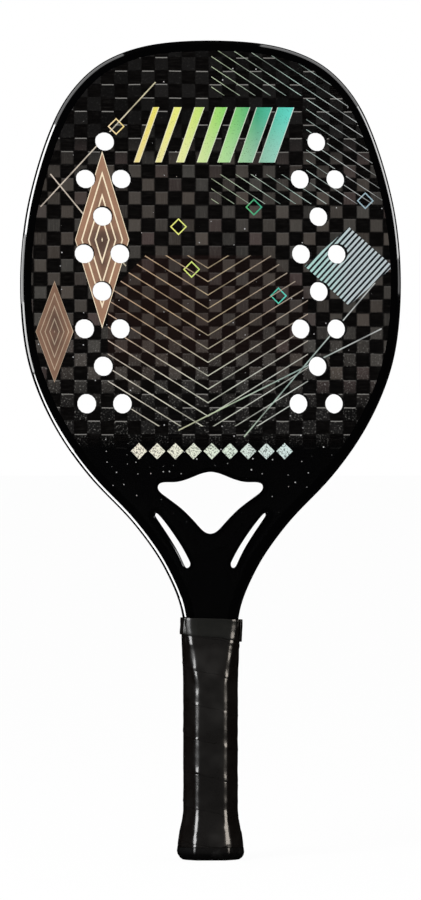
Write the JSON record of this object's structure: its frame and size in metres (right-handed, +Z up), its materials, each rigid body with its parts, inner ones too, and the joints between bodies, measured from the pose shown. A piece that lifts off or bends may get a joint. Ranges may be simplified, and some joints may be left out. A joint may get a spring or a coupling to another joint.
{
  "type": "beach tennis racket",
  "caption": "Beach tennis racket with a perforated foam-cored carbon head, an open throat and a wrapped eight-sided handle.",
  "frame": {"origin": "centre of the butt's flat end, which the racket stands on", "axes": "+Z up the handle to the head, X across the head, +Y through the head from the front face to the back face"},
  "size_m": [0.2328, 0.036, 0.5],
  "materials": {
    "gloss_carbon": "gloss",
    "carbon_weave": "gloss",
    "eva_foam": "matte",
    "handle_foam": "matte",
    "cap_plastic": "satin",
    "staple_steel": "satin",
    "grip_skin": "satin",
    "grip_tape": "satin"
  },
  "bodies": {
    "root": {"frame_tube": "gloss_carbon", "head_core": "eva_foam", "throat_core": "eva_foam", "front_face": "carbon_weave", "back_face": "carbon_weave", "heart_rim": "gloss_carbon", "slot_rim_right": "gloss_carbon", "slot_rim_left": "gloss_carbon", "shaft_filler": "handle_foam", "handle_pallet_front": "handle_foam", "handle_pallet_back": "handle_foam", "butt_cap": "cap_plastic", "cap_staple_right": "staple_steel", "cap_staple_left": "staple_steel", "grip_wrap": "grip_skin", "finishing_tape": "grip_tape"}
  },
  "joints": []
}
